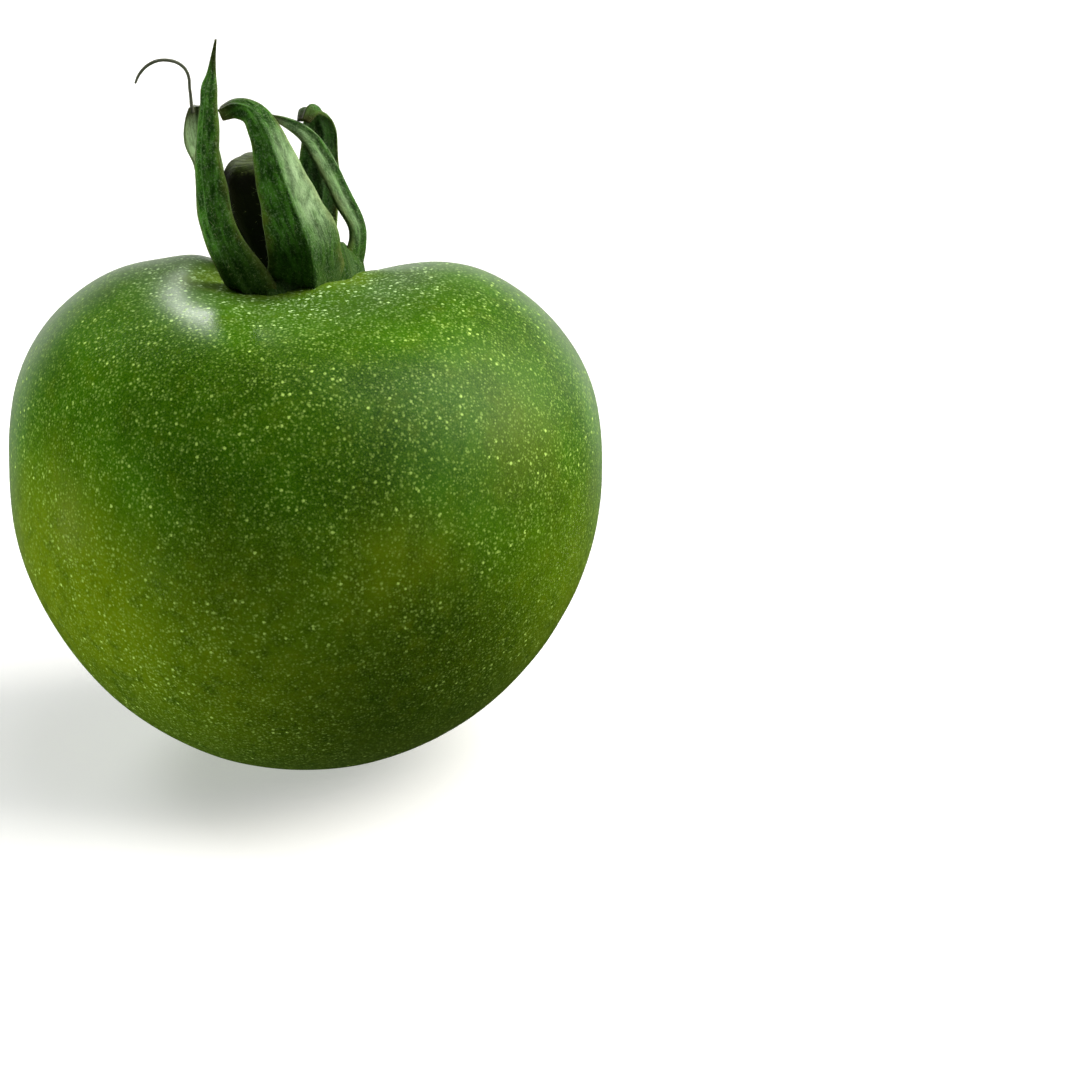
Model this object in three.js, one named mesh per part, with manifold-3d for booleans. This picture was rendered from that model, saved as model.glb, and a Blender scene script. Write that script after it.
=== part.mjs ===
// A whole tomato, ripe while still green, as picked with its calyx and a stub of its stalk.
// Millimetres, +Z up. The origin is the middle of the small flat spot that it rests on.
// +X is its right side and -Y its front.

import * as THREE from 'three';
import { mergeVertices } from 'three/addons/utils/BufferGeometryUtils.js';
import Module from 'manifold-3d';

const wasm = await Module();
wasm.setup();

// Fruit: sizes from the level of its widest ring.
const fruitHalfWidth = 22.7;
const shoulderRise = 16.03;
const baseDrop = 23.55;
// An exponent of 2 gives an elliptical side, and more gives a squarer one.
const shoulderFullness = 2.59;
const leftShoulderFuller = 0.14;
const baseFullness = 2.0;
const fullnessBlend = 0.35;
const sideSwell = 0.007;

// The dip round the stalk, the two lobes beside it, and the ridge just left of the calyx.
const dipDepth = 2.25;
const dipRadius = 10.0;
const lobeHeight = 1.21;
const lobeRadius = 12.65;
const ridgeHeight = 0.75;
const ridgeRadius = 2.5;
const ridgeX = -7.8;
const topReach = THREE.MathUtils.degToRad(61.4);
const topReachBlend = 0.25;

const leanBack = THREE.MathUtils.degToRad(8);
const restingSpotRadius = 4.5;
const fruitRings = 36;
const fruitSides = 72;

// Calyx: a shallow cup with five sepals grown together at the foot.
const skinGap = 0.3;
const cupCentre = new THREE.Vector3(-0.5, 0.9, 37.3);
const cupLean = THREE.MathUtils.degToRad(-9);
const cupFootRadius = 4.5;
const cupRimRadius = 5.3;
const cupHeight = 2.6;
const cupFlareStart = 0.4;
const cupFloor = 1.3;
const cupWall = 0.9;
const cupLengthening = 1.14;
const cupTurn = THREE.MathUtils.degToRad(-25);
const cupSides = 30;
const bladeSteps = 22;
const bladeFootThickness = 1.0;
const bladeTipThickness = 0.62;
const bladeAcross = [-1, -0.55, 0, 0.55, 1];
const keelRoundness = 1.5;

// Each path point is x, y, z and the blade's width there. The two facings say where the outer
// face points at the foot and at the tip, and keel is how far its middle stands out of its edges.
const sepals = [
  {
    name: 'front left, upright with a drawn-out point',
    path: [
      [-3.0, -4.0, 37.2, 4.6], [-4.6, -4.6, 40.6, 3.6], [-5.6, -4.6, 43.2, 3.0], [-6.05, -4.4, 45.5, 2.6],
      [-6.25, -4.0, 48.1, 2.1], [-6.2, -3.4, 50.5, 1.65], [-6.1, -2.8, 53.0, 1.25], [-5.9, -2.4, 54.5, 0.7],
      [-5.6, -1.9, 56.4, 0.6],
    ],
    facingFoot: [-0.5, -0.87, 0],
    facingTip: [-0.3, -0.95, 0],
    keel: 0.3,
  },
  {
    name: 'back left, broken short with a dry curled tail',
    path: [
      [-3.4, 4.3, 37.2, 4.2], [-5.2, 4.9, 38.8, 3.4], [-6.5, 5.4, 40.8, 2.9], [-7.2, 5.7, 44.0, 2.5],
      [-7.7, 5.6, 46.6, 2.4], [-7.85, 5.4, 48.4, 2.2], [-7.8, 5.2, 49.9, 1.6],
    ],
    facingFoot: [-0.73, 0.68, 0],
    facingTip: [-0.5, 0.86, 0],
    keel: 0.35,
  },
  {
    name: 'front, the broadest, bent over to the left at the top',
    path: [
      [0.8, -2.5, 37.6, 6.4], [0.6, -4.0, 41.3, 5.5], [-0.3, -4.6, 44.7, 4.2], [-1.25, -4.3, 47.7, 3.1],
      [-2.1, -3.4, 49.8, 2.3], [-3.1, -2.2, 50.9, 1.7], [-4.3, -1.5, 51.1, 1.5], [-5.6, -1.1, 50.7, 1.2],
    ],
    facingFoot: [0.2, -0.98, 0],
    facingTip: [-0.2, -0.75, 0.6],
    keel: 0.5,
  },
  {
    name: 'right, a thin arch over to the left',
    path: [
      [3.1, 2.3, 37.8, 4.4], [3.9, 2.4, 39.8, 2.8], [4.1, 2.2, 41.2, 2.0], [3.4, 2.2, 43.0, 2.2],
      [2.5, 2.3, 45.0, 2.4], [1.5, 2.5, 47.0, 2.1], [0.3, 2.9, 48.4, 1.5], [-1.0, 3.1, 49.1, 0.9],
      [-2.2, 3.2, 49.5, 0.6],
    ],
    facingFoot: [0.99, -0.1, 0],
    facingTip: [0.35, -0.5, 0.8],
    keel: 0.3,
  },
  {
    name: 'back right, standing and curled over at the top',
    path: [
      [0.9, 4.9, 37.4, 4.6], [0.9, 6.1, 39.8, 3.5], [0.9, 6.6, 42.3, 3.2], [0.85, 6.5, 45.1, 3.5],
      [1.1, 6.0, 47.5, 2.9], [0.95, 5.1, 49.1, 2.3], [0.55, 3.9, 49.7, 1.6], [0.3, 3.0, 49.2, 1.0],
    ],
    facingFoot: [0.45, 0.89, 0],
    facingTip: [0.2, 0.3, 0.93],
    keel: 0.35,
  },
];
const dryTailThickness = 0.6;
const dryTailSteps = 20;
const dryTailSides = 6;
const dryTail = [
  [-8.1, 5.2, 48.6], [-8.4, 5.0, 50.0], [-8.5, 4.9, 51.3], [-8.55, 4.8, 52.3], [-8.9, 4.7, 53.0],
  [-9.55, 4.6, 53.45], [-10.3, 4.5, 53.55], [-11.0, 4.4, 53.45], [-11.65, 4.3, 53.1], [-12.05, 4.2, 52.5],
  [-12.35, 4.1, 51.8],
];

// Stalk stub: thick, leaning left, with a rounded end where it broke at its knuckle.
const stalkPath = [
  [-1.3, 1.5, 38.9], [-1.95, 1.6, 41.2], [-2.6, 1.55, 43.4], [-3.0, 1.4, 45.4], [-3.1, 1.3, 47.1],
];
const stalkFootRadius = 2.5;
const stalkWaistRadius = 2.35;
const stalkHeadRadius = 2.45;
const stalkHeadLength = 2.2;
const stalkHeadRoundness = 2.4;
const stalkEndShare = 0.14;
const stalkSwellSharpness = 4;
const stalkSteps = 16;
const stalkSides = 18;

const toVector = ([x, y, z]) => new THREE.Vector3(x, y, z);

// A closed body through rings of points that run anticlockwise round the way they are stacked.
function loft(rings) {
  const sides = rings[0].length;
  const positions = [];
  for (const ring of rings) {
    for (const p of ring) positions.push(p.x, p.y, p.z);
  }
  const index = [];
  for (let i = 0; i + 1 < rings.length; i += 1) {
    for (let k = 0; k < sides; k += 1) {
      const a = i * sides + k;
      const b = i * sides + (k + 1) % sides;
      index.push(a, b, b + sides, a, b + sides, a + sides);
    }
  }
  for (const [ring, flip] of [[0, true], [rings.length - 1, false]]) {
    const middle = new THREE.Vector3();
    for (const p of rings[ring]) middle.addScaledVector(p, 1 / sides);
    const tip = positions.length / 3;
    positions.push(middle.x, middle.y, middle.z);
    for (let k = 0; k < sides; k += 1) {
      const a = ring * sides + k;
      const b = ring * sides + (k + 1) % sides;
      index.push(tip, flip ? b : a, flip ? a : b);
    }
  }
  const geometry = new THREE.BufferGeometry();
  geometry.setAttribute('position', new THREE.Float32BufferAttribute(positions, 3));
  geometry.setIndex(index);
  return geometry;
}

function toSolid(geometry) {
  geometry.deleteAttribute('normal');
  geometry.deleteAttribute('uv');
  const merged = mergeVertices(geometry);
  return new wasm.Manifold(new wasm.Mesh({
    numProp: 3,
    vertProperties: new Float32Array(merged.attributes.position.array),
    triVerts: new Uint32Array(merged.index.array),
  }));
}

function toGeometry(solid) {
  const mesh = solid.getMesh();
  const geometry = new THREE.BufferGeometry();
  geometry.setAttribute('position', new THREE.Float32BufferAttribute(mesh.vertProperties, 3));
  geometry.setIndex(new THREE.Uint32BufferAttribute(mesh.triVerts, 1));
  return geometry;
}

// Skin: a point of the fruit by its angle down from the stalk and its angle round from +X.
function skinPoint(down, round) {
  const upper = 0.5 * (1 - Math.tanh((down - Math.PI / 2) / fullnessBlend));
  const shoulder = shoulderFullness - leftShoulderFuller * Math.cos(round);
  const fullness = baseFullness + (shoulder - baseFullness) * upper;
  const halfHeight = baseDrop + (shoulderRise - baseDrop) * upper;
  const across = Math.sin(down);
  const along = Math.cos(down);
  const sum = (across / fruitHalfWidth) ** fullness + (Math.abs(along) / halfHeight) ** fullness;
  const reach = sum ** (-1 / fullness) * (1 + sideSwell * Math.cos(round) * across ** 2);
  const x = reach * across * Math.cos(round);
  const y = reach * across * Math.sin(round);
  const r2 = x * x + y * y;
  const nearTop = 0.5 * (1 + Math.tanh((topReach - down) / topReachBlend));
  const lobe = r2 / lobeRadius ** 2;
  const relief = lobeHeight * lobe * Math.exp(1 - lobe) * Math.cos(2 * round)
    - dipDepth * Math.exp(-r2 / dipRadius ** 2)
    + ridgeHeight * Math.exp(-((x - ridgeX) ** 2 + y * y / 4) / ridgeRadius ** 2);
  return new THREE.Vector3(x, y, reach * along + relief * nearTop);
}

// Lifts the leaned-back fruit so that its lowest stretch is cut off at the resting spot.
const lowestDrop = Math.hypot(fruitHalfWidth * Math.sin(leanBack), baseDrop * Math.cos(leanBack));
const roundnessShift = baseDrop ** 2 - fruitHalfWidth ** 2;
const lowestShift = roundnessShift * Math.sin(leanBack) * Math.cos(leanBack) / lowestDrop;
const baseCurvatureRadius = fruitHalfWidth ** 2 / baseDrop;
const restingCut = restingSpotRadius ** 2 / (2 * baseCurvatureRadius);
const standing = new THREE.Matrix4().makeRotationX(-leanBack);
standing.setPosition(0, lowestShift, lowestDrop - restingCut);

// The skin, or with a lift the surface that lies that far outside it.
function skinSolid(lift) {
  const rings = [];
  for (let i = fruitRings - 1; i > 0; i -= 1) {
    const down = Math.PI * i / fruitRings;
    const ring = [];
    for (let k = 0; k < fruitSides; k += 1) {
      const p = skinPoint(down, 2 * Math.PI * k / fruitSides);
      p.addScaledVector(p.clone().normalize(), lift);
      ring.push(p.applyMatrix4(standing));
    }
    rings.push(ring);
  }
  return toSolid(loft(rings));
}

function fruitGeometry() {
  const floorSize = 4 * fruitHalfWidth;
  const floor = new THREE.BoxGeometry(floorSize, floorSize, floorSize);
  floor.translate(0, 0, -floorSize / 2);
  return toGeometry(skinSolid(0).subtract(toSolid(floor)));
}

// A blade: a folded strip swept along its path, thinner towards its point.
function bladeSolid({ path, facingFoot, facingTip, keel }) {
  const middle = new THREE.CatmullRomCurve3(path.map(toVector), false, 'centripetal');
  const widths = new THREE.CatmullRomCurve3(path.map((p, i) => new THREE.Vector3(i, p[3], 0)));
  const foot = toVector(facingFoot);
  const tip = toVector(facingTip);
  const rings = [];
  for (let i = 0; i <= bladeSteps; i += 1) {
    const u = i / bladeSteps;
    const centre = middle.getPoint(u);
    const along = middle.getTangent(u);
    const out = foot.clone().lerp(tip, u);
    out.addScaledVector(along, -out.dot(along)).normalize();
    const side = new THREE.Vector3().crossVectors(along, out);
    const halfWidth = widths.getPoint(u).y / 2;
    const half = (bladeFootThickness + (bladeTipThickness - bladeFootThickness) * u) / 2;
    const place = (s, face) => centre.clone()
      .addScaledVector(side, s * halfWidth)
      .addScaledVector(out, keel * halfWidth * (1 - Math.abs(s) ** keelRoundness) + face * half);
    const outer = bladeAcross.map((s) => place(s, 1));
    const inner = bladeAcross.map((s) => place(s, -1)).reverse();
    rings.push([...outer, ...inner]);
  }
  return toSolid(loft(rings));
}

// A round rod along a path, with its radius given by how far along it is, from 0 to 1.
function rodSolid(path, radiusAt, steps, sides) {
  const middle = new THREE.CatmullRomCurve3(path.map(toVector), false, 'centripetal');
  const reference = new THREE.Vector3(0, 1, 0);
  const rings = [];
  for (let i = 0; i <= steps; i += 1) {
    const u = i / steps;
    const centre = middle.getPointAt(u);
    const along = middle.getTangentAt(u);
    const side = reference.clone().addScaledVector(along, -reference.dot(along)).normalize();
    const other = new THREE.Vector3().crossVectors(along, side);
    const ring = [];
    for (let k = 0; k < sides; k += 1) {
      const angle = 2 * Math.PI * k / sides;
      ring.push(centre.clone()
        .addScaledVector(side, radiusAt(u) * Math.cos(angle))
        .addScaledVector(other, radiusAt(u) * Math.sin(angle)));
    }
    rings.push(ring);
  }
  return toSolid(loft(rings));
}

function cupSolid() {
  const profile = [
    [0, -cupHeight], [cupFootRadius, -cupHeight], [cupFootRadius, cupFlareStart], [cupRimRadius, cupHeight],
    [cupRimRadius - cupWall, cupHeight], [cupFootRadius - cupWall, cupFloor], [0, cupFloor],
  ].map(([r, z]) => new THREE.Vector2(r, z));
  const cup = new THREE.LatheGeometry(profile, cupSides);
  cup.rotateX(Math.PI / 2);
  cup.scale(1, cupLengthening, 1);
  cup.rotateZ(cupTurn);
  cup.rotateY(cupLean);
  cup.translate(cupCentre.x, cupCentre.y, cupCentre.z);
  return toSolid(cup);
}

function calyxGeometry() {
  let calyx = cupSolid();
  for (const sepal of sepals) calyx = calyx.add(bladeSolid(sepal));
  calyx = calyx.add(rodSolid(dryTail, () => dryTailThickness / 2, dryTailSteps, dryTailSides));
  return toGeometry(calyx.subtract(skinSolid(skinGap)));
}

function stalkGeometry() {
  const length = new THREE.CatmullRomCurve3(stalkPath.map(toVector)).getLength();
  const headStart = 1 - stalkHeadLength / length;
  const radiusAt = (u) => {
    if (u <= headStart) {
      const t = u / headStart;
      const waist = stalkFootRadius + (stalkWaistRadius - stalkFootRadius) * Math.sin(t * Math.PI / 2);
      return waist + (stalkHeadRadius - stalkWaistRadius) * t ** stalkSwellSharpness;
    }
    const t = (u - headStart) / (1 - headStart);
    return stalkHeadRadius * Math.max(Math.sqrt(1 - t ** stalkHeadRoundness), stalkEndShare);
  };
  return toGeometry(rodSolid(stalkPath, radiusAt, stalkSteps, stalkSides));
}

function subPart(name, geometry, color, roughness) {
  const material = new THREE.MeshStandardMaterial({ color, roughness, metalness: 0 });
  const mesh = new THREE.Mesh(geometry, material);
  mesh.name = name;
  return mesh;
}

const tomato = new THREE.Group();
tomato.add(subPart('fruit', fruitGeometry(), 0x3f6a12, 0.3));
tomato.add(subPart('calyx', calyxGeometry(), 0x3a5a24, 0.75));
tomato.add(subPart('stalk', stalkGeometry(), 0x46583a, 0.8));

export default tomato;
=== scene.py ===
import math
import random

import bpy
import numpy as np
from mathutils import Euler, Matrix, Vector, noise


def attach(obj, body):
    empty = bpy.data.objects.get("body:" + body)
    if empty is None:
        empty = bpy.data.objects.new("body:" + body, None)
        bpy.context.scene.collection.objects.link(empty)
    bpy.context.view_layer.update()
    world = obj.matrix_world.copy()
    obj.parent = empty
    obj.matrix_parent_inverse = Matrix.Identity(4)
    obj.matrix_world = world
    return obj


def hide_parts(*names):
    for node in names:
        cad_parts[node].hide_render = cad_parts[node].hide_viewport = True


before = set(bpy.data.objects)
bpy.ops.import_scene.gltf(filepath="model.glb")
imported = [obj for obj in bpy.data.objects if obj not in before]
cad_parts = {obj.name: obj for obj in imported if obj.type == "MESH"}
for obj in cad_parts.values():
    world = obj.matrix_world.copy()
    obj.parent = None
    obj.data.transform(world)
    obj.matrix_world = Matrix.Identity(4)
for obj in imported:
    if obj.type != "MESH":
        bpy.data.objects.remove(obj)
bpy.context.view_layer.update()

# The fruit: one firm, unripe tomato, a little wider than tall, grown fuller at the shoulder than at the base.
# It leans back on a small flat spot, where its own weight presses it to the table. The skin is one closed
# surface, smooth and waxy, with a shallow bowl at the top where the stalk grew out of it.
MM = 0.001
FRUIT_HALF_WIDTH = 22.7
SHOULDER_RISE = 16.03
BASE_DROP = 23.55
SHOULDER_FULLNESS = 2.59
LEFT_SHOULDER_FULLER = 0.14
BASE_FULLNESS = 2.0
FULLNESS_BLEND = 0.35
SIDE_SWELL = 0.007
DIP_DEPTH = 2.25
DIP_RADIUS = 10.0
LOBE_HEIGHT = 1.21
LOBE_RADIUS = 12.65
RIDGE_HEIGHT = 0.75
RIDGE_RADIUS = 2.5
RIDGE_X = -7.8
SWELLINGS = ((1.5, -6.0, 1.0, 3.0), (4.7, -2.2, 0.6, 2.3), (-4.4, -11.7, 0.26, 2.2))  # x, y, height, radius
TOP_REACH = math.radians(61.4)
TOP_REACH_BLEND = 0.25
LEAN_BACK = math.radians(8)
RESTING_SPOT_RADIUS = 4.5
FRUIT_RINGS = 170
FRUIT_SIDES = 280
UNEVEN_SIZE, UNEVEN_HEIGHT = 9.0, 0.09
RIPPLE_SIZE, RIPPLE_HEIGHT = 2.6, 0.025
SCAR_RADIUS, SCAR_DEPTH = 1.3, 0.35
BASE_ZONE = 1.0


def skin_points(down, around):
    """Points of the fruit, in mm, by the angle down from the stalk and the angle round from +X."""
    upper = 0.5 * (1 - np.tanh((down - math.pi / 2) / FULLNESS_BLEND))
    shoulder = SHOULDER_FULLNESS - LEFT_SHOULDER_FULLER * np.cos(around)
    fullness = BASE_FULLNESS + (shoulder - BASE_FULLNESS) * upper
    half_height = BASE_DROP + (SHOULDER_RISE - BASE_DROP) * upper
    across, along = np.sin(down), np.cos(down)
    total = (across / FRUIT_HALF_WIDTH) ** fullness + (np.abs(along) / half_height) ** fullness
    reach = total ** (-1 / fullness) * (1 + SIDE_SWELL * np.cos(around) * across**2)
    x = reach * across * np.cos(around)
    y = reach * across * np.sin(around)
    from_stalk = x * x + y * y
    near_top = 0.5 * (1 + np.tanh((TOP_REACH - down) / TOP_REACH_BLEND))
    lobe = from_stalk / LOBE_RADIUS**2
    relief = (
        LOBE_HEIGHT * lobe * np.exp(1 - lobe) * np.cos(2 * around)
        - DIP_DEPTH * np.exp(-from_stalk / DIP_RADIUS**2)
        + RIDGE_HEIGHT * np.exp(-((x - RIDGE_X) ** 2 + y * y / 4) / RIDGE_RADIUS**2)
    )
    for middle_x, middle_y, height, radius in SWELLINGS:
        relief = relief + height * np.exp(-((x - middle_x) ** 2 + (y - middle_y) ** 2) / radius**2)
    return np.stack([x, y, reach * along + relief * near_top], axis=-1)


def stand(points):
    """Leans the fruit back and sets it down on its resting spot."""
    lowest = math.hypot(FRUIT_HALF_WIDTH * math.sin(LEAN_BACK), BASE_DROP * math.cos(LEAN_BACK))
    spread = (BASE_DROP**2 - FRUIT_HALF_WIDTH**2) * math.sin(LEAN_BACK) * math.cos(LEAN_BACK)
    flat_cut = RESTING_SPOT_RADIUS**2 * BASE_DROP / (2 * FRUIT_HALF_WIDTH**2)
    c, s = math.cos(-LEAN_BACK), math.sin(-LEAN_BACK)
    turned = points @ np.array([[1, 0, 0], [0, c, s], [0, -s, c]])
    return turned + np.array([0, spread / lowest, lowest - flat_cut])


def cloud(point, size):
    """A smooth random number between -1 and 1 at a point, for lumps of about that size in mm."""
    return noise.noise(Vector(point) / size)


def closed_body(name, rings):
    """A closed mesh through rings of points in mm, each run anticlockwise round the way they are stacked."""
    count, sides = len(rings), len(rings[0])
    points = [p for ring in rings for p in ring]
    points += [np.mean(rings[0], axis=0), np.mean(rings[-1], axis=0)]
    faces = []
    for i in range(count - 1):
        for k in range(sides):
            a, b = i * sides + k, i * sides + (k + 1) % sides
            faces.append((a, b, b + sides, a + sides))
    foot, top = count * sides, count * sides + 1
    for k in range(sides):
        after = (k + 1) % sides
        faces.append((foot, after, k))
        faces.append((top, (count - 1) * sides + k, (count - 1) * sides + after))
    mesh = bpy.data.meshes.new(name)
    mesh.from_pydata((np.array(points) * MM).tolist(), [], faces)
    mesh.shade_smooth()
    body = bpy.data.objects.new(name, mesh)
    bpy.context.scene.collection.objects.link(body)
    return body


fruit_rings = []
for ring in range(FRUIT_RINGS - 1, 0, -1):
    down = np.full(FRUIT_SIDES, math.pi * ring / FRUIT_RINGS)
    around = 2 * math.pi * np.arange(FRUIT_SIDES) / FRUIT_SIDES
    points = skin_points(down, around)
    outward = points / np.linalg.norm(points, axis=1, keepdims=True)
    lumps = [
        UNEVEN_HEIGHT * cloud(p, UNEVEN_SIZE) + RIPPLE_HEIGHT * cloud(p, RIPPLE_SIZE) for p in points
    ]
    points = stand(points + outward * np.array(lumps)[:, None])
    points[:, 2] = np.maximum(points[:, 2], 0)
    fruit_rings.append(points)
base_pole = stand(np.array([[0.0, 0.0, -BASE_DROP]]))[0]
for points in fruit_rings:
    from_scar = np.linalg.norm(points[:, :2] - base_pole[:2], axis=1)
    dent = SCAR_DEPTH * np.exp(-((from_scar / SCAR_RADIUS) ** 4))
    points[:, 2] += np.where(points[:, 2] < BASE_ZONE, dent, 0)
fruit = closed_body("tomato_skin", fruit_rings)


class Shade:
    """A value, colour or vector on its way to a surface. Sums and products of values add Math nodes."""

    def __init__(self, socket):
        self.socket = socket

    def math(self, operation, first, second):
        tree = self.socket.id_data
        node = tree.nodes.new("ShaderNodeMath")
        node.operation = operation
        for place, value in zip(node.inputs, (first, second)):
            if isinstance(value, Shade):
                tree.links.new(value.socket, place)
            else:
                place.default_value = value
        return Shade(node.outputs[0])

    def __add__(self, other):
        return self.math("ADD", self, other)

    def __sub__(self, other):
        return self.math("SUBTRACT", self, other)

    def __rsub__(self, other):
        return self.math("SUBTRACT", other, self)

    def __mul__(self, other):
        return self.math("MULTIPLY", self, other)

    def __pow__(self, other):
        return self.math("POWER", self, other)

    __radd__ = __add__
    __rmul__ = __mul__


class Finish:
    """The nodes of one material, or of the room's light."""

    def __init__(self, tree):
        self.tree = tree
        tree.nodes.clear()

    def node(self, kind, settings=None, values=None, output=0):
        """One node: its settings are set first, then the values or links of its sockets."""
        node = self.tree.nodes.new("ShaderNode" + kind)
        for name, value in (settings or {}).items():
            setattr(node, name, value)
        for name, value in (values or {}).items():
            if isinstance(value, Shade):
                self.tree.links.new(value.socket, node.inputs[name])
            else:
                node.inputs[name].default_value = value
        return Shade(node.outputs[output]) if node.outputs else None

    def mix(self, mask, under, over):
        """The colour under, covered by the colour over where the mask is 1."""
        return self.node("Mix", {"data_type": "RGBA"}, {0: mask, 6: under, 7: over}, 2)

    def step(self, value, low, high):
        """0 below low, 1 above high and smooth between."""
        sockets = {"Value": value, "From Min": low, "From Max": high}
        return self.node("MapRange", {"interpolation_type": "SMOOTHSTEP"}, sockets)

    def lumps(self, place, size, detail=2.0, roughness=0.5):
        """Random patches from 0 to 1, of about that size in mm."""
        return self.node(
            "TexNoise", None, {"Vector": place, "Scale": 1 / size, "Detail": detail, "Roughness": roughness}
        )

    def stretched(self, place, factors, shift=(0, 0, 0)):
        """A place, multiplied along each axis and shifted."""
        return self.node("VectorMath", {"operation": "MULTIPLY_ADD"}, {0: place, 1: factors, 2: shift})


def paint(red, green, blue):
    """A colour as it looks on a screen, from 0 to 255, as the renderer wants it."""
    parts = [c / 255 for c in (red, green, blue)]
    return tuple(c / 12.92 if c <= 0.04045 else ((c + 0.055) / 1.055) ** 2.4 for c in parts) + (1.0,)


def new_finish(name):
    material = bpy.data.materials.new(name)
    material.use_nodes = True
    return material, Finish(material.node_tree)


# The skin's colour goes from the broad patches to the finest flecks. Each blotch is named by its middle, with
# the distances in mm at which it starts to fade and is gone. Flecks have a spacing, a size and a rarity.
CUP_CENTRE = (-0.6, 0.9, 37.3)
DEEP_SKIN = paint(29, 67, 1)
MID_SKIN = paint(50, 98, 2)
OLIVE_SKIN = paint(102, 120, 2)
BOTTLE_SKIN = paint(26, 54, 1)
HALO_SKIN = paint(104, 130, 2)
PAINTED_SHEEN = paint(118, 146, 70)
DUST = paint(96, 136, 22)
FLECK = paint(182, 218, 106)
SHEEN_PALE_FLECK = paint(200, 234, 168)
SCAR = paint(92, 70, 38)
DARK_BLOTCHES_AND_SHADE = {
    (0.5, -17.0, 34.5): (0.0, 9.0),
    (6.0, -21.0, 28.5): (0.0, 6.5),
    (17.2, -14.2, 27.4): (0.5, 7.0),
    (11.0, -18.0, 13.0): (4.0, 13.0),
}
OLIVE_BLOTCHES_AND_LIGHT = {
    (-17.0, -14.6, 18.6): (4.0, 14.0),
    (8.0, -21.0, 22.0): (1.0, 7.0),
    (17.2, -14.0, 28.4): (0.0, 6.0),
}
OLIVE_STRENGTH, DARK_STRENGTH = 0.7, 0.62
YELLOW_SPOT = ((-6.9, -3.0, 38.7), 0.6, 3.0)
PAINTED_SHEEN_SPOT = ((17.0, -13.0, 32.0), 1.0, 10.0)
SPOT_RAGGEDNESS = 5.0
BROAD_SIZE, PATCH_SIZE, STREAK_SIZE, MOTTLE_SIZE = 10.0, 2.6, 3.0, 1.4
OLIVE_HEIGHTS = (15.0, 33.0)
PAINTED_BASE_SHADE_HEIGHTS = (2.0, 18.0)
HALO_REACH = (5.2, 7.8)
PALE_TOP_REACH = (10.0, 20.0)
CLUSTER_SIZE = 5.0
BRIGHT_FLECKS = (0.5, 0.18, 2.6)
MIDDLE_FLECKS = (0.37, 0.16, 1.6)
FINE_FLECKS = (0.24, 0.12, 1.2)
FLECK_RAGGEDNESS = 0.12
DUST_SIZE = 0.13
SCAR_EDGE = (1.2, 1.9)
BUMP_HEIGHT = 0.05
SKIN_IOR = 1.38

skin_material, skin = new_finish("waxy_green_skin")
place = skin.stretched(skin.node("TexCoord", None, None, "Object"), (1 / MM, 1 / MM, 1 / MM))
height = skin.node("SeparateXYZ", None, {0: place}, "Z")
broad = skin.lumps(place, BROAD_SIZE)
patches = skin.lumps(skin.stretched(place, (1, 1, 1), (0, 70, 0)), PATCH_SIZE, 4.0, 0.6)
streaks = skin.lumps(skin.stretched(place, (1, 1, 0.4), (40, 0, 0)), STREAK_SIZE, 3.0)
mottle = skin.lumps(skin.stretched(place, (1, 1, 1), (0, 0, 55)), MOTTLE_SIZE, 3.0, 0.65)


def near_spot(centre, near, far):
    """1 within the near distance of a spot on the skin and 0 beyond the far one, with a ragged edge."""
    away = skin.node("VectorMath", {"operation": "DISTANCE"}, {0: place, 1: centre}, "Value")
    return 1 - skin.step(away + SPOT_RAGGEDNESS * (patches - 0.5), near, far)


colour = skin.mix(skin.step(broad, 0.3, 0.7), DEEP_SKIN, MID_SKIN)
colour = skin.mix(skin.step(patches, 0.35, 0.75) * 0.45, colour, MID_SKIN)
lower = 1 - skin.step(height + 7.0 * broad, *OLIVE_HEIGHTS)
colour = skin.mix(lower * 0.7, colour, OLIVE_SKIN)
# Lighter olive blotches: partly the skin's own colour, partly painted light where the lamps fall on the right
# side and low on the left.
for centre, (near, far) in OLIVE_BLOTCHES_AND_LIGHT.items():
    colour = skin.mix(near_spot(centre, near, far) * OLIVE_STRENGTH, colour, OLIVE_SKIN)
colour = skin.mix(skin.step(streaks, 0.48, 0.8) * 0.4, colour, BOTTLE_SKIN)
# Dark blotches: partly the skin's own mottling, partly painted shade, darkest low on the right and in the
# middle.
for centre, (near, far) in DARK_BLOTCHES_AND_SHADE.items():
    colour = skin.mix(near_spot(centre, near, far) * DARK_STRENGTH, colour, BOTTLE_SKIN)
colour = skin.mix(skin.step(mottle, 0.5, 0.72) * (0.3 + 0.3 * lower), colour, BOTTLE_SKIN)
colour = skin.mix((1 - skin.step(mottle, 0.3, 0.5)) * (0.15 + 0.25 * lower), colour, OLIVE_SKIN)
# Painted shade: the skin is drawn darker towards its base, where little light reaches.
base = 1 - skin.step(height, *PAINTED_BASE_SHADE_HEIGHTS)
colour = skin.mix(base * 0.65, colour, BOTTLE_SKIN)
from_cup = skin.node("VectorMath", {"operation": "DISTANCE"}, {0: place, 1: CUP_CENTRE}, "Value")
halo = 1 - skin.step(from_cup + 3.0 * (patches - 0.5), *HALO_REACH)
colour = skin.mix(halo * 0.75, colour, HALO_SKIN)
colour = skin.mix(near_spot(*YELLOW_SPOT) * 0.5, colour, HALO_SKIN)
ragged = FLECK_RAGGEDNESS * (skin.lumps(place, 0.12, 1.0) - 0.5)


def flecks(spacing, size, rarity):
    """Ragged dots of that size in mm, one to each random point. A high rarity leaves few strong ones."""
    sockets = {"Vector": place, "Scale": 1 / spacing}
    away = skin.node("TexVoronoi", None, sockets, "Distance")
    own = skin.node("TexVoronoi", None, sockets, "Color")
    strength = skin.node("SeparateColor", None, {0: own}, 0)
    dot = 1 - skin.step(away + ragged * (1 / spacing), 0.1 * size / spacing, size / spacing)
    return dot * strength**rarity


# Near the top the flecks are drawn brighter and paler: partly their own colour, partly painted reflection of
# the light on the shoulder.
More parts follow.
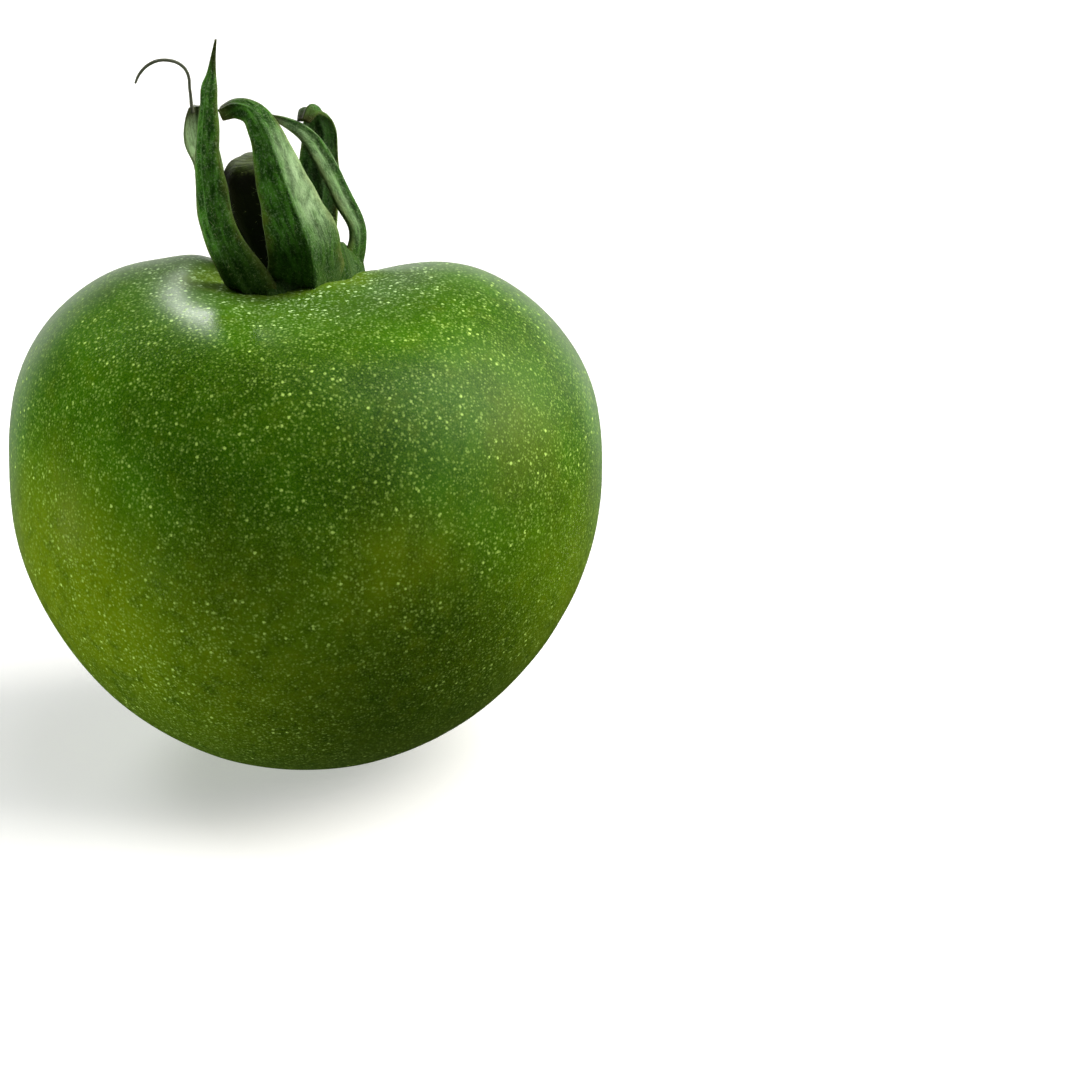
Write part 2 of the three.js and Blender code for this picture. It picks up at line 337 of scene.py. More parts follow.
near_top = 1 - skin.step(from_cup + 4.0 * broad, *PALE_TOP_REACH)
clusters = skin.step(skin.lumps(place, CLUSTER_SIZE, 3.0), 0.38, 0.62)
crowded = 0.3 + 0.65 * clusters + near_top - 0.5 * halo
bright_flecks = flecks(*BRIGHT_FLECKS) * crowded * 1.5
middle_flecks = flecks(*MIDDLE_FLECKS) * crowded * 0.55
fine_flecks = flecks(*FINE_FLECKS) * 0.45
dust = skin.step(skin.lumps(place, DUST_SIZE, 2.0, 0.7), 0.35, 0.75) * 0.5
colour = skin.mix(dust, colour, DUST)
# Painted sheen: a pale haze near the top and a broad one on the right side, as the lamps' reflection on the
# wax.
colour = skin.mix(near_top * 0.1, colour, PAINTED_SHEEN)
colour = skin.mix(near_spot(*PAINTED_SHEEN_SPOT) * 0.12, colour, PAINTED_SHEEN)
# Painted reflection: the flecks turn paler near the top.
fleck_colour = skin.mix(near_top, FLECK, SHEEN_PALE_FLECK)
for dots in (fine_flecks, middle_flecks, bright_flecks):
    colour = skin.mix(dots, colour, fleck_colour)
scar_spot = (*base_pole[:2], 0)
from_scar = skin.node("VectorMath", {"operation": "DISTANCE"}, {0: place, 1: scar_spot}, "Value")
scar = 1 - skin.step(from_scar + 0.5 * patches, *SCAR_EDGE)
colour = skin.mix(scar, colour, SCAR)
bumps = skin.lumps(place, 0.4, 2.0) * 0.3 + bright_flecks * 0.5 + fine_flecks * 0.4
relief = skin.node("Bump", None, {"Strength": 0.3, "Distance": BUMP_HEIGHT * MM, "Height": bumps})
surface = skin.node(
    "BsdfPrincipled",
    None,
    {
        "Base Color": colour,
        "Roughness": 0.28 + 0.08 * patches + 0.15 * bright_flecks + 0.3 * scar,
        "IOR": SKIN_IOR,
        "Normal": relief,
    },
)
skin.node("OutputMaterial", None, {"Surface": surface})
fruit.data.materials.append(skin_material)
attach(fruit, "root")
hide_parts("fruit")

# The calyx: five narrow green sepals that grew together into a shallow cup on top of the fruit, and dried as
# they stood. Each is a thin blade folded along its midrib, thick and ribbed at the foot, drawn out to a point.
# Two stand up and three bend over to the left. The cup sits on the bottom of the skin's bowl.
CUP_LEAN = math.radians(-9)
CUP_TURN = math.radians(-25)
CUP_LENGTHENING = 1.24
CUP_STEPS, CUP_SIDES = 60, 144
CUP_RIBS, CUP_RIB_HEIGHT = 10, 0.16
CUP_LINES, CUP_LINE_HEIGHT = 25, 0.05
CUP_RIBBED_FROM = 3.4
CUP_UNEVENNESS = 0.12
CUP_GRAIN, ROD_GRAIN = 60.0, 70.0
WEB_ANGLE, WEB_SPREAD, WEB_HEIGHT = math.radians(-14), 0.5, 2.0
BLADE_STEPS = 84
BLADE_ACROSS = 17
BLADE_THICKNESS, TIP_THINNING = 0.85, 0.5
RIB_HEIGHT, RIB_WIDTH = 0.16, 0.13
GROOVE_DEPTH, GROOVE_PLACE, GROOVE_WIDTH = 0.09, 0.33, 0.14
VEIN_HEIGHT, VEIN_CLOSENESS = 0.05, 7.5
EDGE_WAVE, EDGE_RAGGEDNESS = 0.22, 0.10
LUMP_HEIGHT = 0.10
# A path has x, y, z and the width in mm, from the foot to the tip. Facing is where the outer face looks there.
SEPALS = {
    "sepal_front_left": {
        "path": [
            (-2.7, -3.3, 37.2, 4.6), (-4.55, -4.55, 40.6, 3.6), (-5.6, -4.6, 43.2, 3.0),
            (-6.05, -4.4, 45.5, 2.6), (-6.25, -4.0, 48.1, 2.1), (-6.2, -3.4, 50.5, 1.65),
            (-6.15, -3.1, 51.6, 1.4), (-6.1, -2.8, 53.0, 1.25), (-5.95, -2.5, 53.9, 0.75),
            (-5.8, -2.25, 55.1, 0.4), (-5.6, -1.9, 56.4, 0.15),
        ],
        "facing": ((-0.5, -0.87, 0), (-0.3, -0.95, 0)),
        "keel": (0.3, 1.5),
        "pale": (0.0, 0.0, 0.3, 0.4, 1.0),
    },
    "sepal_back_left": {
        "path": [
            (-3.4, 4.3, 37.2, 4.2), (-5.2, 4.9, 38.8, 3.4), (-6.5, 5.4, 40.8, 2.9),
            (-7.0, 5.7, 43.6, 2.5), (-7.35, 5.7, 45.7, 2.3), (-7.85, 5.5, 47.5, 2.6),
            (-7.9, 5.35, 48.9, 2.1), (-7.9, 5.2, 49.9, 1.3),
        ],
        "facing": ((-0.73, 0.68, 0), (-0.5, 0.86, 0)),
        "keel": (0.35, 1.5),
        "pale": (0.0, 0.0, 0.7, 0.5, 1.0),
    },
    "sepal_front": {
        "path": [
            (0.6, -2.1, 37.6, 6.0), (0.6, -3.9, 41.3, 5.6), (-0.3, -4.6, 44.7, 4.4),
            (-1.25, -4.3, 47.7, 3.3), (-2.1, -3.4, 49.9, 2.4), (-3.1, -2.2, 51.0, 1.8),
            (-4.25, -1.5, 51.2, 1.5), (-5.4, -1.1, 50.75, 1.2),
        ],
        "facing": ((0.32, -0.94, 0), (-0.2, -0.75, 0.6)),
        "keel": (0.6, 1.15),
        # The front sepal's right facet is painted pale: painted light on the facet that faces the lamps.
        "pale": (0.0, 0.95, 0.4, 0.2, 0.5),
    },
    "sepal_right": {
        "path": [
            (3.1, 2.3, 37.8, 4.4), (3.9, 2.4, 39.8, 2.8), (4.1, 2.2, 41.2, 2.0),
            (3.4, 2.2, 43.0, 2.2), (2.5, 2.3, 45.0, 2.4), (1.5, 2.5, 47.0, 2.1),
            (0.3, 2.9, 48.4, 1.5), (-1.1, 3.1, 49.2, 0.9), (-2.4, 3.2, 49.65, 0.4),
        ],
        "facing": ((0.99, -0.1, 0), (0.35, -0.5, 0.8)),
        "keel": (0.3, 1.5),
        "pale": (0.45, 0.45, 0.4, 0.2, 1.0),
    },
    "sepal_back_right": {
        "path": [
            (0.9, 4.9, 37.4, 4.6), (0.95, 6.1, 39.8, 3.5), (1.1, 6.6, 42.3, 3.2),
            (1.2, 6.5, 45.1, 3.3), (1.35, 6.0, 47.5, 2.9), (1.15, 5.1, 49.1, 2.3),
            (0.65, 3.9, 49.7, 1.6), (0.3, 3.0, 49.2, 1.0),
        ],
        "facing": ((0.45, 0.89, 0), (0.2, 0.3, 0.93)),
        "keel": (0.35, 1.5),
        "pale": (0.0, 0.0, 0.1, 0.2, 1.0),
    },
}


def smooth_path(points, steps):
    """Evenly numbered places on a smooth curve through the points, with whatever else each point carries."""
    points = np.array(points, float)
    ends = np.vstack([2 * points[0] - points[1], points, 2 * points[-1] - points[-2]])
    places = []
    for u in np.linspace(0, len(points) - 1, steps + 1):
        i = min(int(u), len(points) - 2)
        t = u - i
        before, first, second, after = ends[i : i + 4]
        pairs = ((before, first), (first, second), (second, after))
        gap_before, gap, gap_after = (np.linalg.norm((b - a)[:3]) ** 0.5 for a, b in pairs)
        leave = (first - before) / gap_before - (second - before) / (gap_before + gap)
        leave = (leave + (second - first) / gap) * gap
        arrive = (second - first) / gap - (after - first) / (gap + gap_after)
        arrive = (arrive + (after - second) / gap_after) * gap
        cubic = 2 * first - 2 * second + leave + arrive
        square = -3 * first + 3 * second - 2 * leave - arrive
        places.append(first + t * (leave + t * (square + t * cubic)))
    return np.array(places)


def unit(vector):
    return vector / np.linalg.norm(vector)


def mark(body, name, values):
    """Stores a number triple at every point of the mesh, for its material."""
    marks = body.data.attributes.new(name, "FLOAT_VECTOR", "POINT")
    marks.data.foreach_set("vector", np.array(values, np.float32).ravel())


def grow_sepal(name, path, facing, keel, pale, number):
    """A blade swept along its path: midrib, side veins, thin wavy edges, thicker at the foot.

    The keel is how far the fold stands out and how round it is. Pale says how pale the outer face is
    left and right of the fold, and the inner face, and from where to where along the blade. The paleness is
    partly the blade's own faded colour and partly painted light on faces turned to the lamps.
    """
    fold_height, fold_roundness = keel
    pale_left, pale_right, pale_inside, pale_from, pale_to = pale
    line = smooth_path(path, BLADE_STEPS)
    middle = line[:, :3]
    tangents = np.gradient(middle, axis=0)
    foot_facing, tip_facing = (np.array(f, float) for f in facing)
    gone = np.concatenate([[0], np.cumsum(np.linalg.norm(np.diff(middle, axis=0), axis=1))])
    rings, grain, form = [], [], []
    across = np.linspace(-1, 1, BLADE_ACROSS)
    for i in range(BLADE_STEPS + 1):
        u = i / BLADE_STEPS
        along = unit(tangents[i])
        out = foot_facing + (tip_facing - foot_facing) * u
        out = unit(out - along * out.dot(along))
        sideways = np.cross(along, out)
        half_width = line[i, 3] / 2
        half = 0.5 * (BLADE_THICKNESS - TIP_THINNING * u) * min(1, 0.3 + half_width)
        pale_ramp = min(max((u - pale_from) * 8 + 0.5, 0), 1) * min(max((pale_to - u) * 5 + 0.5, 0), 1)
        ring_out, ring_in = [], []
        for s in across:
            side = 1.0 if s > 0 else 7.0
            edge = 1 + EDGE_RAGGEDNESS * noise.noise(Vector((gone[i] * 0.45, number * 5.0, side)))
            rise = fold_height * half_width * (1 - abs(s) ** fold_roundness)
            rib = RIB_HEIGHT * math.exp(-((s / RIB_WIDTH) ** 2))
            rib -= GROOVE_DEPTH * math.exp(-(((abs(s) - GROOVE_PLACE) / GROOVE_WIDTH) ** 2))
            vein = VEIN_HEIGHT * math.cos(s * half_width * VEIN_CLOSENESS) * (1 - s * s)
            wave = noise.noise(Vector((gone[i] * 0.35, s * 0.6, number * 3.1)))
            wave *= EDGE_WAVE * half_width * s * s
            lump = LUMP_HEIGHT * noise.noise(Vector((gone[i] * 0.5, s * half_width * 0.6, number * 9.0)))
            flat = middle[i] + sideways * s * half_width * edge + out * (rise + wave)
            edge_half = half * (1 - 0.6 * abs(s) ** 3)
            fade = min(1.0, half_width)
            ring_out.append(flat + out * (edge_half + (rib + vein + lump) * fade))
            ring_in.append(flat - out * (edge_half - (rib * 0.5 + lump) * fade))
            grain.append((s * half_width, gone[i], number * 10.0))
            share = min(abs(s) * 2.2, 1)
            form.append((abs(s), u, pale_ramp * share * (pale_right if s > 0 else pale_left)))
        grain += [(s * half_width, gone[i], number * 10.0 + 5) for s in across[::-1]]
        form += [(abs(s), u, pale_ramp * pale_inside) for s in across[::-1]]
        rings.append(ring_out + ring_in[::-1])
    blade = closed_body(name, rings)
    ends = [(0.0, 0.0, number * 10.0), (0.0, gone[-1], number * 10.0)]
    mark(blade, "grain", grain + ends)
    mark(blade, "form", form + [(0.0, 0.0, 0.0), (0.0, 1.0, 0.0)])
    return blade


CUP_PROFILE = [
    (0.4, -0.9), (3.0, -1.2), (4.3, -1.15), (4.8, -0.9), (4.95, -0.5), (5.0, 0.0), (4.95, 0.5), (4.85, 0.9),
    (4.7, 1.25), (4.5, 1.5), (4.2, 1.55), (3.9, 1.35), (3.6, 1.1), (3.3, 0.95), (2.6, 0.85), (0.4, 0.8),
]


def grow_cup():
    """The ring where the sepals' feet join, highest at the web between the front and right ones."""
    outline = smooth_path([(r, 0.0, z) for r, z in CUP_PROFILE], CUP_STEPS)
    turn = Euler((0, CUP_LEAN, 0)).to_matrix() @ Euler((0, 0, CUP_TURN)).to_matrix()
    rings, grain, form = [], [], []
    for r, _, z in outline:
        ring = []
        for k in range(CUP_SIDES):
            angle = 2 * math.pi * k / CUP_SIDES
            rib = CUP_RIB_HEIGHT * math.cos(CUP_RIBS * angle)
            rib += CUP_LINE_HEIGHT * math.cos(CUP_LINES * angle + 1)
            ribbed = r + rib * min(max(r - CUP_RIBBED_FROM, 0), 1)
            spot = Vector((ribbed * math.cos(angle), ribbed * math.sin(angle) * CUP_LENGTHENING, z))
            spot += CUP_UNEVENNESS * noise.noise(spot * 0.9) * Vector((math.cos(angle), math.sin(angle), 0))
            from_web = math.remainder(angle - WEB_ANGLE, 2 * math.pi) / WEB_SPREAD
            spot.z += WEB_HEIGHT * math.exp(-(from_web**2)) * min(max(z - 0.1, 0) / 1.3, 1)
            ring.append(np.array(turn @ spot) + np.array(CUP_CENTRE))
            grain.append((angle * 4.5, z + 1, CUP_GRAIN))
            form.append((0.0, 0.05, 0.0))
        rings.append(ring)
    cup = closed_body("calyx_cup", rings)
    mark(cup, "grain", grain + [(0.0, 0.0, CUP_GRAIN)] * 2)
    mark(cup, "form", form + [(0.0, 0.05, 0.0)] * 2)
    return cup


TAIL_STEPS, TAIL_SIDES = 70, 8
TAIL_WAVE, TAIL_WINDING = 0.15, 23
TAIL_PATH = [
    (-8.2, 5.1, 49.5, 0.33), (-8.3, 5.0, 50.2, 0.27), (-8.35, 4.9, 51.3, 0.24), (-8.38, 4.8, 52.2, 0.24),
    (-8.7, 4.7, 52.95, 0.25), (-9.3, 4.6, 53.45, 0.26), (-10.05, 4.5, 53.6, 0.26), (-10.85, 4.4, 53.5, 0.26),
    (-11.55, 4.3, 53.15, 0.25), (-12.05, 4.2, 52.55, 0.22), (-12.35, 4.1, 51.9, 0.16),
]


def grow_rod(name, path, steps, sides, shape):
    """A round stem along a path whose points carry a thickness; shape(u, angle) swells or grooves it."""
    line = smooth_path(path, steps)
    middle = line[:, :3]
    tangents = np.gradient(middle, axis=0)
    gone = np.concatenate([[0], np.cumsum(np.linalg.norm(np.diff(middle, axis=0), axis=1))])
    rings, grain, form = [], [], []
    for i in range(steps + 1):
        u = gone[i] / gone[-1]
        along = unit(tangents[i])
        sideways = unit(np.array((0.0, 1.0, 0.0)) - along * along[1])
        other = np.cross(along, sideways)
        ring = []
        for k in range(sides):
            angle = 2 * math.pi * k / sides
            radius = line[i, 3] / 2 * shape(u, angle)
            ring.append(middle[i] + radius * (sideways * math.cos(angle) + other * math.sin(angle)))
            grain.append((angle * line[i, 3] / 2, gone[i], ROD_GRAIN))
            form.append((0.0, u, 0.0))
        rings.append(ring)
    rod = closed_body(name, rings)
    mark(rod, "grain", grain + [(0.0, 0.0, ROD_GRAIN), (0.0, gone[-1], ROD_GRAIN)])
    mark(rod, "form", form + [(0.0, 0.0, 0.0), (0.0, 1.0, 0.0)])
    return rod


def tail_shape(u, angle):
    """A thread that winds a little about its middle as it dries, as a factor on its radius."""
    return 1 + TAIL_WAVE * math.sin(TAIL_WINDING * u + angle)


calyx_pieces = [grow_cup()]
for number, (name, shape) in enumerate(SEPALS.items()):
    calyx_pieces.append(grow_sepal(name, **shape, number=number + 1))
tail = grow_rod("dry_tail", TAIL_PATH, TAIL_STEPS, TAIL_SIDES, tail_shape)

SEPAL_DARK = paint(24, 58, 6)
SEPAL_MID = paint(62, 112, 30)
SEPAL_PALE = paint(152, 180, 134)
SEPAL_DRY = paint(112, 112, 36)
SEPAL_BROWN = paint(40, 28, 10)
SEPAL_SHEEN = paint(206, 226, 180)
TAIL_DARK, TAIL_PALE = paint(52, 56, 40), paint(104, 108, 92)
FIBRE_STRETCH = (2.4, 0.6, 1)
SEPAL_BLOTCH_SIZE, SEPAL_DOWN_SIZE = 1.3, 0.17
SEPAL_BUMP = 0.2
leaf_material, leaf = new_finish("dry_hairy_leaf")
grain = leaf.node("Attribute", {"attribute_name": "grain"}, None, "Vector")
form = leaf.node("Attribute", {"attribute_name": "form"}, None, "Vector")
edge = leaf.node("SeparateXYZ", None, {0: form}, "X")
reach = leaf.node("SeparateXYZ", None, {0: form}, "Y")
paleness = leaf.node("SeparateXYZ", None, {0: form}, "Z")
leaf_place = leaf.stretched(leaf.node("TexCoord", None, None, "Object"), (1 / MM, 1 / MM, 1 / MM))
fibres = leaf.lumps(leaf.stretched(grain, FIBRE_STRETCH), 1.0, 4.0, 0.7)
blotches = leaf.lumps(leaf_place, SEPAL_BLOTCH_SIZE, 3.0, 0.6)
down_hair = leaf.lumps(leaf_place, SEPAL_DOWN_SIZE, 2.0, 0.7)
colour = leaf.mix(leaf.step(fibres, 0.38, 0.66), SEPAL_DARK, SEPAL_MID)
colour = leaf.mix(leaf.step(down_hair, 0.48, 0.72) * 0.32, colour, SEPAL_PALE)
# Pale faces: partly the blade's own faded colour, partly painted light on faces turned to the lamps.
pale_and_lit = paleness * (0.3 + 0.7 * leaf.step(0.5 * fibres + 0.5 * blotches, 0.38, 0.58))
colour = leaf.mix(pale_and_lit, colour, SEPAL_PALE)
dryness = leaf.step(edge + 0.7 * blotches, 1.05, 1.5) * (1 - 0.5 * reach)
colour = leaf.mix(dryness * 0.4, colour, SEPAL_DRY)
at_foot = 1 - leaf.step(reach + 0.25 * blotches, 0.12, 0.38)
colour = leaf.mix(at_foot * (0.1 + 0.45 * leaf.step(fibres, 0.4, 0.6)), colour, SEPAL_BROWN)
colour = leaf.mix(leaf.step(blotches, 0.6, 0.8) * 0.45, colour, SEPAL_BROWN)
colour = leaf.mix(leaf.step(reach + 0.2 * blotches, 0.88, 1.08) * 0.8, colour, SEPAL_BROWN)
leaf_bumps = fibres * 0.8 + down_hair * 0.5 + blotches * 0.3
relief = leaf.node("Bump", None, {"Strength": 0.7, "Distance": SEPAL_BUMP * MM, "Height": leaf_bumps})
surface = leaf.node(
    "BsdfPrincipled",
    None,
    {
        "Base Color": colour,
        "Roughness": 0.6 + 0.25 * down_hair,
        "Specular IOR Level": 0.25,
        "Sheen Weight": 0.08,
        "Sheen Roughness": 0.4,
        "Sheen Tint": SEPAL_SHEEN,
        "Normal": relief,
    },
)
leaf.node("OutputMaterial", None, {"Surface": surface})
tail_material, dried_tip = new_finish("dried_grey_tip")
tail_grain = dried_tip.node("Attribute", {"attribute_name": "grain"}, None, "Vector")
colour = dried_tip.mix(dried_tip.lumps(tail_grain, 0.7, 3.0), TAIL_DARK, TAIL_PALE)
surface = dried_tip.node("BsdfPrincipled", None, {"Base Color": colour, "Roughness": 0.8})
dried_tip.node("OutputMaterial", None, {"Surface": surface})
for piece in calyx_pieces + [tail]:
    piece.data.materials.append(tail_material if piece is tail else leaf_material)
    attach(piece, "root")
    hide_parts("calyx")

# The stalk stub: what is left of the thick green stem, leaning left among the sepals. It grows out of the cup
# and swells into the knuckle at which it snapped off, with a rounded, corky end. Its end is green, and below
# it the sides are painted near black as painted shade among the sepals.
STALK_PATH = [
    (-1.2, 1.5, 38.3, 5.0), (-1.4, 1.5, 39.0, 5.0), (-2.15, 1.6, 41.2, 4.95), (-2.9, 1.55, 43.4, 5.0),
    (-3.2, 1.45, 45.0, 5.1), (-3.3, 1.4, 46.1, 4.3), (-3.3, 1.35, 46.8, 2.6), (-3.3, 1.3, 47.1, 0.9),
]
STALK_STEPS, STALK_SIDES = 80, 72
STALK_GROOVES, STALK_GROOVE_HEIGHT = 7, 0.04
STALK_KNOT_HEIGHT = 0.05


def stalk_shape(u, angle):
    """The grooves and knots of the stub, as a factor on its radius."""
    groove = STALK_GROOVE_HEIGHT * math.cos(STALK_GROOVES * angle + 2 * u)
    around = Vector((math.cos(angle) * 1.6, math.sin(angle) * 1.6, u * 9))
    knots = STALK_KNOT_HEIGHT * noise.noise(around)
    return 1 + groove + knots


stalk = grow_rod("stalk_stub", STALK_PATH, STALK_STEPS, STALK_SIDES, stalk_shape)
STALK_GREEN = paint(46, 60, 20)
STALK_GREY = paint(76, 88, 46)
STALK_PAINTED_SHADE = paint(9, 9, 3)
PAINTED_SHADE_REACH = (0.95, 1.06)
CORK_STRETCH = (2.4, 0.4, 1)
SPECKLE_SIZE = 0.25
STALK_BUMP = 0.18
stalk_material, bark = new_finish("corky_stalk")
grain = bark.node("Attribute", {"attribute_name": "grain"}, None, "Vector")
form = bark.node("Attribute", {"attribute_name": "form"}, None, "Vector")
reach = bark.node("SeparateXYZ", None, {0: form}, "Y")
bark_place = bark.stretched(bark.node("TexCoord", None, None, "Object"), (1 / MM, 1 / MM, 1 / MM))
fibres = bark.lumps(bark.stretched(grain, CORK_STRETCH), 1.0, 3.0, 0.6)
speckle = bark.lumps(bark_place, SPECKLE_SIZE, 3.0, 0.7)
colour = bark.mix(bark.step(fibres, 0.4, 0.68), STALK_GREEN, STALK_GREY)
# Painted shade: below its green end the stalk is drawn near black, as the shade among the sepals.
shaded_sides = 1 - bark.step(reach + 0.16 * speckle, *PAINTED_SHADE_REACH)
colour = bark.mix(shaded_sides, colour, STALK_PAINTED_SHADE)
bark_bumps = fibres * 0.7 + speckle * 0.6
relief = bark.node("Bump", None, {"Strength": 0.7, "Distance": STALK_BUMP * MM, "Height": bark_bumps})
surface = bark.node(
    "BsdfPrincipled", None, {"Base Color": colour, "Roughness": 0.7 + 0.2 * speckle, "Normal": relief}
)
bark.node("OutputMaterial", None, {"Surface": surface})
stalk.data.materials.append(stalk_material)
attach(stalk, "root")
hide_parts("stalk")

# The hairs: a short pale down that covers the sepals and the stalk of every tomato plant. Each hair is a
# three-sided sliver, rooted in the surface that it grows from.
HAIR_SEED = 11
HAIR_THICKNESS = 0.024
HAIR_LENGTHS = (0.22, 0.55)
HAIR_TILT, HAIR_BEND, HAIR_ROOT = 0.45, 0.12, 0.08
HAIRS_PER_PIECE = {"calyx_cup": 220, "stalk_stub": 160, "dry_tail": 10}
HAIRS_ON_SEPAL = 420
HAIR_DARK, HAIR_PALE = paint(84, 104, 50), paint(150, 164, 112)


def grow_hairs(name, bodies):
    """One mesh of slivers, spread over the bodies by area."""
    chance = random.Random(HAIR_SEED)
    points, faces = [], []
    for body in bodies:
        mesh = body.data
        areas = [p.area for p in mesh.polygons]
        count = HAIRS_PER_PIECE.get(body.name, HAIRS_ON_SEPAL)
        for polygon in chance.choices(mesh.polygons, areas, k=count):
            corners = [mesh.vertices[v].co for v in polygon.vertices]
            weights = [chance.random() for _ in corners]
            root = sum((c * w for c, w in zip(corners, weights)), Vector()) / sum(weights)
            tilt = Vector([chance.gauss(0, HAIR_TILT) for _ in range(3)])
            lean = (polygon.normal + tilt).normalized()
            length = chance.uniform(*HAIR_LENGTHS) * MM
            first = lean.orthogonal().normalized() * HAIR_THICKNESS / 2 * MM
            second = lean.cross(first)
            start = root - lean * HAIR_ROOT * MM
            at = len(points)
            for angle in (0, 2 * math.pi / 3, 4 * math.pi / 3):
                points.append(start + first * math.cos(angle) + second * math.sin(angle))
            points.append(root + lean * length + tilt * HAIR_BEND * length)
            first_corner, second_corner, third_corner, tip = range(at, at + 4)
            faces += [
                (first_corner, second_corner, tip), (second_corner, third_corner, tip),
                (third_corner, first_corner, tip), (third_corner, second_corner, first_corner),
            ]
    mesh = bpy.data.meshes.new(name)
    mesh.from_pydata([tuple(p) for p in points], [], faces)
    hairs = bpy.data.objects.new(name, mesh)
    bpy.context.scene.collection.objects.link(hairs)
    return hairs


hair_material, down = new_finish("pale_down")
hair_place = down.stretched(down.node("TexCoord", None, None, "Object"), (1 / MM, 1 / MM, 1 / MM))
colour = down.mix(down.lumps(hair_place, 0.8), HAIR_DARK, HAIR_PALE)
surface = down.node("BsdfPrincipled", None, {"Base Color": colour, "Roughness": 0.55})
down.node("OutputMaterial", None, {"Surface": surface})
sepal_hairs = grow_hairs("sepal_hairs", calyx_pieces + [tail])
stalk_hairs = grow_hairs("stalk_hairs", [stalk])
for hairs, slot_name in ((sepal_hairs, "sepal"), (stalk_hairs, "stalk")):
    hairs.data.materials.append(hair_material)
    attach(hairs, "root")

# The table: a plain sheet of matte white paper without an end in sight, on which the fruit stands and throws
# a soft grey shadow. It glows a little, to stay as white as in a bright studio, and neither lights nor shades
# the fruit.
TABLE_HALF = 3.0
TABLE_GLOW = 0.42
PAPER_TOOTH = 0.002
PAPER_DARK, PAPER_PALE = paint(206, 206, 206), paint(210, 210, 210)
table_mesh = bpy.data.meshes.new("table")
table_mesh.from_pydata(
    [(x * TABLE_HALF, y * TABLE_HALF, 0) for x, y in ((-1, -1), (1, -1), (1, 1), (-1, 1))],
    [],
    [(0, 1, 2, 3)],
)
table = bpy.data.objects.new("table", table_mesh)
bpy.context.scene.collection.objects.link(table)
table_material, paper = new_finish("white_paper")
tooth = paper.lumps(paper.node("TexCoord", None, None, "Object"), PAPER_TOOTH)
colour = paper.mix(tooth, PAPER_DARK, PAPER_PALE)
surface = paper.node(
    "BsdfPrincipled",
    None,
    {
        "Base Color": colour,
        "Roughness": 0.9,
        "Specular IOR Level": 0.0,
        "Emission Color": (1, 1, 1, 1),
        "Emission Strength": TABLE_GLOW,
    },
)
paper.node("OutputMaterial", None, {"Surface": surface})
table.data.materials.append(table_material)
table.visible_glossy = False
table.visible_diffuse = False
table.visible_shadow = False

# The light: a white tent, bright behind the fruit and on its right, with a broad, slightly warm soft box high
# on the right. Smaller boxes stand above, over the back, and low at the sides, where they shine through the
# sheet. A tiny lamp close by makes the highlight left of the calyx. The front stays dim.
SUBJECT = Vector((0.0, 0.23, 23.65)) * MM
WHITE_LIGHT, RIGHT_LIGHT = (1.0, 1.0, 1.0), (1.0, 0.97, 0.87)
BOX_DISTANCE = 2.5
BOXES = (  # name, azimuth, elevation, size in m, power in W
    ("left_lamp", -82, -16, 0.5, 44),
    ("front_left_lamp", -122, -24, 0.5, 38),
    ("back_left_lamp", -45, 42, 1.2, 33),
    ("right_lamp", 88, 38, 2.2, 112),
    ("top_lamp", 90, 75, 1.6, 24),
    ("low_right_lamp", 50, -24, 0.5, 34),
)
GLINT_SPOT = Vector((-6.5, -9.9, 37.6)) * MM
GLINT_AZIMUTH, GLINT_ELEVATION, GLINT_DISTANCE = -9, 37, 0.03
GLINT_SIZE, GLINT_POWER = 0.005, 0.0022
TENT_LEVEL, BEHIND_LEVEL, RIGHT_LEVEL = 0.012, 0.8, 0.6


def soft_box(name, azimuth, elevation, distance, size, power):
    """A flat, square lamp that faces the fruit. Azimuth 0 is behind it and 90 on its right, in degrees."""
    lamp = bpy.data.lights.new(name, "AREA")
    lamp.shape = "RECTANGLE"
    lamp.size = lamp.size_y = size
    lamp.energy = power
    holder = bpy.data.objects.new(name, lamp)
    a, e = math.radians(azimuth), math.radians(elevation)
    away = Vector((math.sin(a) * math.cos(e), math.cos(a) * math.cos(e), math.sin(e)))
    holder.location = SUBJECT + away * distance
    holder.rotation_euler = away.to_track_quat("Z", "Y").to_euler()
    bpy.context.scene.collection.objects.link(holder)
    return holder


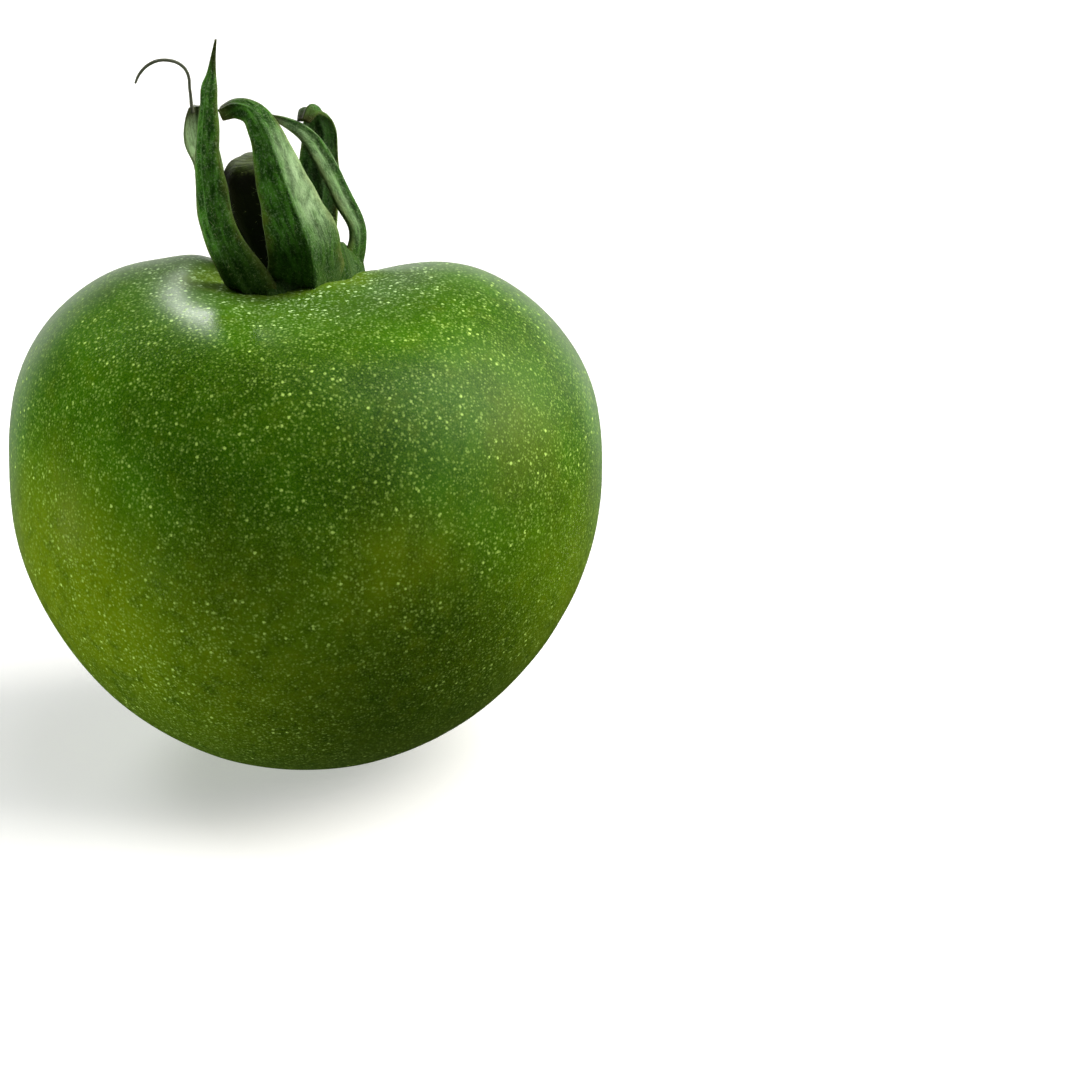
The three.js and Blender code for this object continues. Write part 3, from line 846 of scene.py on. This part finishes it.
for name, azimuth, elevation, size, watts in BOXES:
    box = soft_box(name, azimuth, elevation, BOX_DISTANCE, size, watts)
    box.data.color = RIGHT_LIGHT if "right" in name else WHITE_LIGHT
    box.visible_glossy = False
glint = soft_box("glint_lamp", GLINT_AZIMUTH, GLINT_ELEVATION, GLINT_DISTANCE, GLINT_SIZE, GLINT_POWER)
glint.location += GLINT_SPOT - SUBJECT
glint.visible_camera = False
glint.visible_diffuse = False
room = bpy.data.worlds.new("tent")
room.use_nodes = True
bpy.context.scene.world = room
tent = Finish(room.node_tree)
direction = tent.node("TexCoord", None, None, "Generated")
rise = tent.node("SeparateXYZ", None, {0: direction}, "Z")


def glow(azimuth, elevation, low, high):
    """1 towards that side, fading to 0 where the cosine of the angle from it falls from high to low."""
    a, e = math.radians(azimuth), math.radians(elevation)
    heading = (math.sin(a) * math.cos(e), math.cos(a) * math.cos(e), math.sin(e))
    nearness = tent.node("VectorMath", {"operation": "DOT_PRODUCT"}, {0: direction, 1: heading}, "Value")
    return tent.step(nearness, low, high)


upright = tent.step(rise, -0.1, 0.12)
low_down = tent.step(rise, -0.45, -0.1) * (1 - tent.step(rise, 0.05, 0.42))
behind = glow(0, 0, 0.6, 0.96) * low_down
on_right = glow(92, 22, 0.45, 0.92) * upright
level = TENT_LEVEL + BEHIND_LEVEL * behind + RIGHT_LEVEL * on_right
seen = tent.node("LightPath", None, None, "Is Camera Ray")
lit = tent.node("Background", None, {"Color": (1, 1, 1, 1), "Strength": seen + (1 - seen) * level})
tent.node("OutputWorld", None, {"Surface": lit})

# The camera: a long lens a little above the fruit, looking down at it, with the fruit left of the middle.
CAMERA_ELEVATION = math.radians(19.4)
CAMERA_DISTANCE, CAMERA_TO_RIGHT, CAMERA_DROP = 253.846, 18.077, 6.385
LENS_LENGTH, SENSOR_WIDTH = 110, 36
forward = Vector((0, math.cos(CAMERA_ELEVATION), -math.sin(CAMERA_ELEVATION)))
upward = Vector((0, math.sin(CAMERA_ELEVATION), math.cos(CAMERA_ELEVATION)))
lens = bpy.data.cameras.new("long_lens")
lens.lens = LENS_LENGTH
lens.sensor_width = SENSOR_WIDTH
lens.clip_start, lens.clip_end = 0.01, 20
camera = bpy.data.objects.new("camera", lens)
offset = Vector((CAMERA_TO_RIGHT, 0, 0)) - forward * CAMERA_DISTANCE - upward * CAMERA_DROP
camera.location = SUBJECT + offset * MM
camera.rotation_euler = Euler((math.pi / 2 - CAMERA_ELEVATION, 0, 0))
bpy.context.scene.collection.objects.link(camera)
bpy.context.scene.camera = camera
bpy.context.scene.view_settings.view_transform = "Standard"
